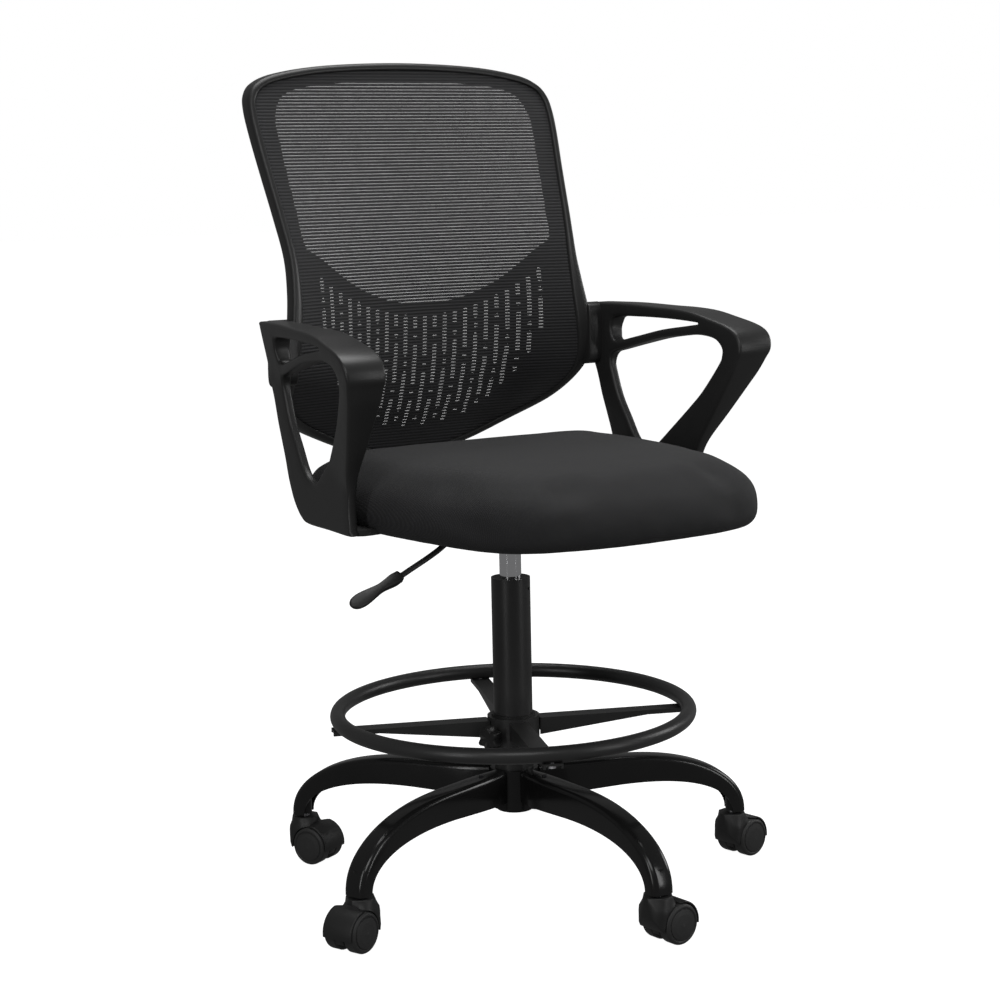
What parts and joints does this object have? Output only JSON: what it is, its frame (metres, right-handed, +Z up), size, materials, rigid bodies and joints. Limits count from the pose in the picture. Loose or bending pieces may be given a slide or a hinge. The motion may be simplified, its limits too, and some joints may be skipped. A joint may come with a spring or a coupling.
{
  "type": "drafting chair",
  "caption": "Tall office chair with a mesh back, loop arms, padded seat, gas lift, sliding foot ring and a five-legged caster base.",
  "frame": {"origin": "on the floor, under the axis of the gas-lift column", "axes": "+Z up along the column, -Y towards the front of the seat, +X to the sitter's left"},
  "size_m": [0.6691, 0.6274, 1.055],
  "materials": {
    "gloss_black_paint": "gloss powder coat over pressed steel",
    "satin_black_paint": "satin powder coat over steel",
    "black_steel": "blackened steel fastener",
    "bright_steel": "zinc-plated or ground steel",
    "chrome": "polished chrome",
    "caster_plastic": "moulded nylon, fine texture",
    "wheel_plastic": "moulded nylon, rubbed tread",
    "black_plastic": "moulded polypropylene",
    "arm_plastic": "moulded polypropylene with a fine grain",
    "plywood": "bare plywood",
    "foam": "open-cell foam",
    "seat_fabric": "tight woven polyester",
    "mesh_fabric": "open ribbed mesh"
  },
  "bodies": {
    "base": {"base_hub": "gloss_black_paint", "base_leg_1": "gloss_black_paint", "base_leg_2": "gloss_black_paint", "base_leg_3": "gloss_black_paint", "base_leg_4": "gloss_black_paint", "base_leg_5": "gloss_black_paint", "stem_sockets": "gloss_black_paint", "base_bolts": "black_steel", "column_tube": "satin_black_paint", "column_bush": "black_plastic", "thrust_bearing": "bright_steel"},
    "piston": {"rod_clip": "black_steel", "piston_rod": "bright_steel"},
    "seat": {"gas_cylinder": "chrome", "seat_plate": "satin_black_paint", "seat_bolts": "bright_steel", "lever_pin": "bright_steel", "seat_board": "plywood", "seat_foam": "foam", "seat_cover": "seat_fabric", "arm_left": "arm_plastic", "arm_right": "arm_plastic", "arm_screws": "bright_steel", "back_rim": "arm_plastic", "back_shell": "black_plastic", "back_mesh": "mesh_fabric"},
    "lever": {"lever_rod": "satin_black_paint", "lever_handle": "black_plastic"},
    "valve": {"valve_pin": "bright_steel"},
    "ring_slider": {"ring_sleeve": "black_plastic"},
    "foot_rest": {"foot_ring": "satin_black_paint", "ring_spokes": "satin_black_paint", "ring_hub": "satin_black_paint", "ring_screws": "bright_steel"},
    "knob": {"clamp_knob": "black_plastic"},
    "caster_1": {"caster_1_stem": "bright_steel", "caster_1_hood": "caster_plastic", "caster_1_axle": "bright_steel"},
    "caster_1_roller_a": {"caster_1_wheel_a": "wheel_plastic"},
    "caster_1_roller_b": {"caster_1_wheel_b": "wheel_plastic"},
    "caster_2": {"caster_2_stem": "bright_steel", "caster_2_hood": "caster_plastic", "caster_2_axle": "bright_steel"},
    "caster_2_roller_a": {"caster_2_wheel_a": "wheel_plastic"},
    "caster_2_roller_b": {"caster_2_wheel_b": "wheel_plastic"},
    "caster_3": {"caster_3_stem": "bright_steel", "caster_3_hood": "caster_plastic", "caster_3_axle": "bright_steel"},
    "caster_3_roller_a": {"caster_3_wheel_a": "wheel_plastic"},
    "caster_3_roller_b": {"caster_3_wheel_b": "wheel_plastic"},
    "caster_4": {"caster_4_stem": "bright_steel", "caster_4_hood": "caster_plastic", "caster_4_axle": "bright_steel"},
    "caster_4_roller_a": {"caster_4_wheel_a": "wheel_plastic"},
    "caster_4_roller_b": {"caster_4_wheel_b": "wheel_plastic"},
    "caster_5": {"caster_5_stem": "bright_steel", "caster_5_hood": "caster_plastic", "caster_5_axle": "bright_steel"},
    "caster_5_roller_a": {"caster_5_wheel_a": "wheel_plastic"},
    "caster_5_roller_b": {"caster_5_wheel_b": "wheel_plastic"}
  },
  "joints": [
    {"name": "seat_swivel", "type": "hinge", "parent": "base", "child": "piston", "pos_m": [0, 0, 0.105], "axis": [0, 0, 1], "continuous": true},
    {"name": "seat_height", "type": "slide", "parent": "piston", "child": "seat", "axis": [0, 0, 1], "range_m": [0, 0.2]},
    {"name": "height_lever", "type": "hinge", "parent": "seat", "child": "lever", "pos_m": [-0.062, 0, 0.4816], "axis": [0, 1, 0], "range_deg": [0, 5], "stiffness_Nm_per_rad": 8},
    {"name": "valve_press", "type": "slide", "parent": "seat", "child": "valve", "axis": [0, 0, -1], "range_m": [0, 0.0055]},
    {"name": "ring_height", "type": "slide", "parent": "base", "child": "ring_slider", "axis": [0, 0, 1], "range_m": [-0.015, 0.11]},
    {"name": "ring_turn", "type": "hinge", "parent": "ring_slider", "child": "foot_rest", "pos_m": [0, 0, 0.2], "axis": [0, 0, 1], "continuous": true},
    {"name": "knob_turn", "type": "hinge", "parent": "foot_rest", "child": "knob", "pos_m": [0, 0, 0.199], "axis": [-0.9397, -0.342, 0], "range_deg": [0, 540]},
    {"name": "caster_1_swivel", "type": "hinge", "parent": "base", "child": "caster_1", "pos_m": [-0.28244, -0.10113, 0.06], "axis": [0, 0, 1], "continuous": true},
    {"name": "caster_1_roll_a", "type": "hinge", "parent": "caster_1", "child": "caster_1_roller_a", "pos_m": [-0.29993, -0.10855, 0.025], "axis": [0.3907, -0.9205, 0], "continuous": true},
    {"name": "caster_1_roll_b", "type": "hinge", "parent": "caster_1", "child": "caster_1_roller_b", "pos_m": [-0.29993, -0.10855, 0.025], "axis": [0.3907, -0.9205, 0], "continuous": true},
    {"name": "caster_2_swivel", "type": "hinge", "parent": "base", "child": "caster_2", "pos_m": [0.0089, -0.29987, 0.06], "axis": [0, 0, 1], "continuous": true},
    {"name": "caster_2_roll_a", "type": "hinge", "parent": "caster_2", "child": "caster_2_roller_a", "pos_m": [0.02776, -0.29755, 0.025], "axis": [-0.1219, 0.9925, 0], "continuous": true},
    {"name": "caster_2_roll_b", "type": "hinge", "parent": "caster_2", "child": "caster_2_roller_b", "pos_m": [0.02776, -0.29755, 0.025], "axis": [-0.1219, 0.9925, 0], "continuous": true},
    {"name": "caster_3_swivel", "type": "hinge", "parent": "base", "child": "caster_3", "pos_m": [0.28794, -0.0842, 0.06], "axis": [0, 0, 1], "continuous": true},
    {"name": "caster_3_roll_a", "type": "hinge", "parent": "caster_3", "child": "caster_3_roller_a", "pos_m": [0.30659, -0.08057, 0.025], "axis": [-0.1908, 0.9816, 0], "continuous": true},
    {"name": "caster_3_roll_b", "type": "hinge", "parent": "caster_3", "child": "caster_3_roller_b", "pos_m": [0.30659, -0.08057, 0.025], "axis": [-0.1908, 0.9816, 0], "continuous": true},
    {"name": "caster_4_swivel", "type": "hinge", "parent": "base", "child": "caster_4", "pos_m": [0.16906, 0.24783, 0.06], "axis": [0, 0, 1], "continuous": true},
    {"name": "caster_4_roll_a", "type": "hinge", "parent": "caster_4", "child": "caster_4_roller_a", "pos_m": [0.18361, 0.26004, 0.025], "axis": [-0.6428, 0.766, 0], "continuous": true},
    {"name": "caster_4_roll_b", "type": "hinge", "parent": "caster_4", "child": "caster_4_roller_b", "pos_m": [0.18361, 0.26004, 0.025], "axis": [-0.6428, 0.766, 0], "continuous": true},
    {"name": "caster_5_swivel", "type": "hinge", "parent": "base", "child": "caster_5", "pos_m": [-0.18346, 0.23737, 0.06], "axis": [0, 0, 1], "continuous": true},
    {"name": "caster_5_roll_a", "type": "hinge", "parent": "caster_5", "child": "caster_5_roller_a", "pos_m": [-0.17483, 0.22044, 0.025], "axis": [0.891, 0.454, 0], "continuous": true},
    {"name": "caster_5_roll_b", "type": "hinge", "parent": "caster_5", "child": "caster_5_roller_b", "pos_m": [-0.17483, 0.22044, 0.025], "axis": [0.891, 0.454, 0], "continuous": true}
  ],
  "couplings": [
    {"joint": "valve_press", "follows": "height_lever", "m_per_rad": 0.062}
  ]
}
